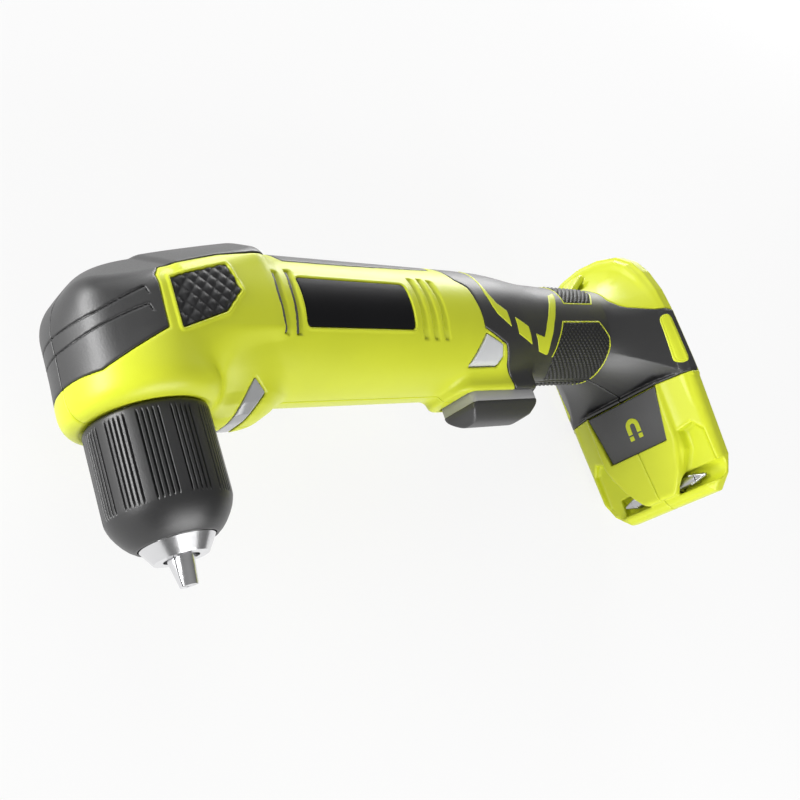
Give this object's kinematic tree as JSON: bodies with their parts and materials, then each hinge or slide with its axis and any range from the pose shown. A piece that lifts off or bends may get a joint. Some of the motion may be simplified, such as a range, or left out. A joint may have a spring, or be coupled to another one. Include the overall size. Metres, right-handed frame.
{
  "type": "right angle drill",
  "caption": "Cordless right angle drill: slim two-half casing, keyless chuck square to the motor, paddle trigger, and a battery foot with a magnetic tray and a stored bit.",
  "frame": {"origin": "on the spindle axis at the mouth of the chuck", "axes": "+X along the motor axis from the head to the battery foot, -Y out of the chuck, +Z out of the left side; the tool lies on its right side"},
  "size_m": [0.2803, 0.121, 0.0708],
  "materials": {
    "green_plastic": "satin moulded",
    "grey_rubber": "matte overmould",
    "textured_rubber": "knurled",
    "black_plate": "gloss",
    "clear_lens": "frosted",
    "circuit_board": "matte",
    "lead_insulation": "matte",
    "cast_case": "cast",
    "black_sleeve": "fluted, matte",
    "trigger_grey": "satin",
    "selector_grey": "satin",
    "black_plastic": "matte",
    "contact_brass": "plated",
    "bush_bronze": "sintered",
    "carbon": "sintered",
    "bright_steel": "turned",
    "dark_steel": "blackened",
    "gear_steel": "machined",
    "bit_steel": "ground"
  },
  "bodies": {
    "housing": {"left_housing": "green_plastic", "right_housing": "green_plastic", "left_bumper": "grey_rubber", "right_bumper": "grey_rubber", "left_top_strip": "grey_rubber", "right_top_strip": "grey_rubber", "left_grip": "grey_rubber", "right_grip": "grey_rubber", "head_pads": "textured_rubber", "side_plates": "black_plate", "side_badges": "green_plastic", "led_lens": "clear_lens", "led_board": "circuit_board", "led_leads": "lead_insulation", "gear_case": "cast_case", "spindle_lower_bearing": "gear_steel", "spindle_upper_bearing": "gear_steel", "pinion_bearing": "gear_steel", "ring_gear": "gear_steel", "gearbox_plate": "gear_steel", "motor_can": "bright_steel", "motor_magnets": "carbon", "motor_end_bell": "black_plastic", "front_bush": "bush_bronze", "rear_bush": "bush_bronze", "brushes": "carbon", "motor_leads": "lead_insulation", "trigger_spring": "gear_steel", "switch_body": "black_plastic", "battery_leads": "lead_insulation", "terminal_block": "black_plastic", "battery_contacts": "contact_brass", "magnet_tray": "grey_rubber", "tray_magnet": "carbon", "bit_clip": "black_plastic", "housing_screws": "dark_steel"},
    "spindle": {"spindle": "gear_steel", "bevel_gear": "gear_steel", "chuck_body": "bright_steel", "chuck_screw": "gear_steel"},
    "sleeve": {"chuck_sleeve": "black_sleeve", "chuck_nut": "dark_steel"},
    "jaw_1": {"jaw_1": "bright_steel"},
    "jaw_2": {"jaw_2": "bright_steel"},
    "jaw_3": {"jaw_3": "bright_steel"},
    "carrier": {"bevel_pinion": "gear_steel", "planet_carrier": "gear_steel", "planet_pins": "gear_steel"},
    "planet_1": {"planet_gear_1": "gear_steel"},
    "planet_2": {"planet_gear_2": "gear_steel"},
    "planet_3": {"planet_gear_3": "gear_steel"},
    "armature": {"armature": "gear_steel", "sun_pinion": "gear_steel", "commutator": "contact_brass", "cooling_fan": "black_plastic"},
    "trigger": {"trigger": "trigger_grey"},
    "selector": {"direction_selector": "selector_grey"},
    "bit": {"driver_bit": "bit_steel"}
  },
  "joints": [
    {"name": "spindle_spin", "type": "hinge", "parent": "housing", "child": "spindle", "pos_m": [0, 0.0705, 0], "axis": [0, 1, 0], "continuous": true},
    {"name": "sleeve_turn", "type": "hinge", "parent": "spindle", "child": "sleeve", "pos_m": [0, 0.0705, 0], "axis": [0, 1, 0], "range_deg": [0, 2160]},
    {"name": "jaw_1_slide", "type": "slide", "parent": "spindle", "child": "jaw_1", "axis": [-0.0289, 0.9781, 0.2059], "range_m": [0, 0.0242]},
    {"name": "jaw_2_slide", "type": "slide", "parent": "spindle", "child": "jaw_2", "axis": [0.1928, 0.9781, -0.0779], "range_m": [0, 0.0242]},
    {"name": "jaw_3_slide", "type": "slide", "parent": "spindle", "child": "jaw_3", "axis": [-0.1638, 0.9781, -0.128], "range_m": [0, 0.0242]},
    {"name": "carrier_spin", "type": "hinge", "parent": "housing", "child": "carrier", "pos_m": [0, 0.0705, 0], "axis": [1, 0, 0], "continuous": true},
    {"name": "planet_1_spin", "type": "hinge", "parent": "carrier", "child": "planet_1", "pos_m": [0.05, 0.0705, -0.0105], "axis": [1, 0, 0], "continuous": true},
    {"name": "planet_2_spin", "type": "hinge", "parent": "carrier", "child": "planet_2", "pos_m": [0.05, 0.07959, 0.00525], "axis": [1, 0, 0], "continuous": true},
    {"name": "planet_3_spin", "type": "hinge", "parent": "carrier", "child": "planet_3", "pos_m": [0.05, 0.06141, 0.00525], "axis": [1, 0, 0], "continuous": true},
    {"name": "armature_spin", "type": "hinge", "parent": "housing", "child": "armature", "pos_m": [0, 0.0705, 0], "axis": [1, 0, 0], "continuous": true},
    {"name": "trigger_pull", "type": "slide", "parent": "housing", "child": "trigger", "axis": [0, 1, 0], "range_m": [0, 0.0045], "stiffness_N_per_m": 900, "springref_m": -0.003, "deforming": ["trigger_spring"]},
    {"name": "selector_push", "type": "slide", "parent": "housing", "child": "selector", "axis": [0, 0, -1], "range_m": [-0.0035, 0.0035]},
    {"name": "bit_draw", "type": "slide", "parent": "housing", "child": "bit", "axis": [0, 0, 1], "range_m": [0, 0.06]}
  ],
  "couplings": [
    {"joint": "carrier_spin", "follows": "spindle_spin", "ratio": 2.6667},
    {"joint": "planet_1_spin", "follows": "spindle_spin", "ratio": -7.1111},
    {"joint": "planet_2_spin", "follows": "spindle_spin", "ratio": -7.1111},
    {"joint": "planet_3_spin", "follows": "spindle_spin", "ratio": -7.1111},
    {"joint": "armature_spin", "follows": "spindle_spin", "ratio": 13.333},
    {"joint": "jaw_1_slide", "follows": "sleeve_turn", "m_per_rad": 0.00063662},
    {"joint": "jaw_2_slide", "follows": "sleeve_turn", "m_per_rad": 0.00063662},
    {"joint": "jaw_3_slide", "follows": "sleeve_turn", "m_per_rad": 0.00063662}
  ]
}
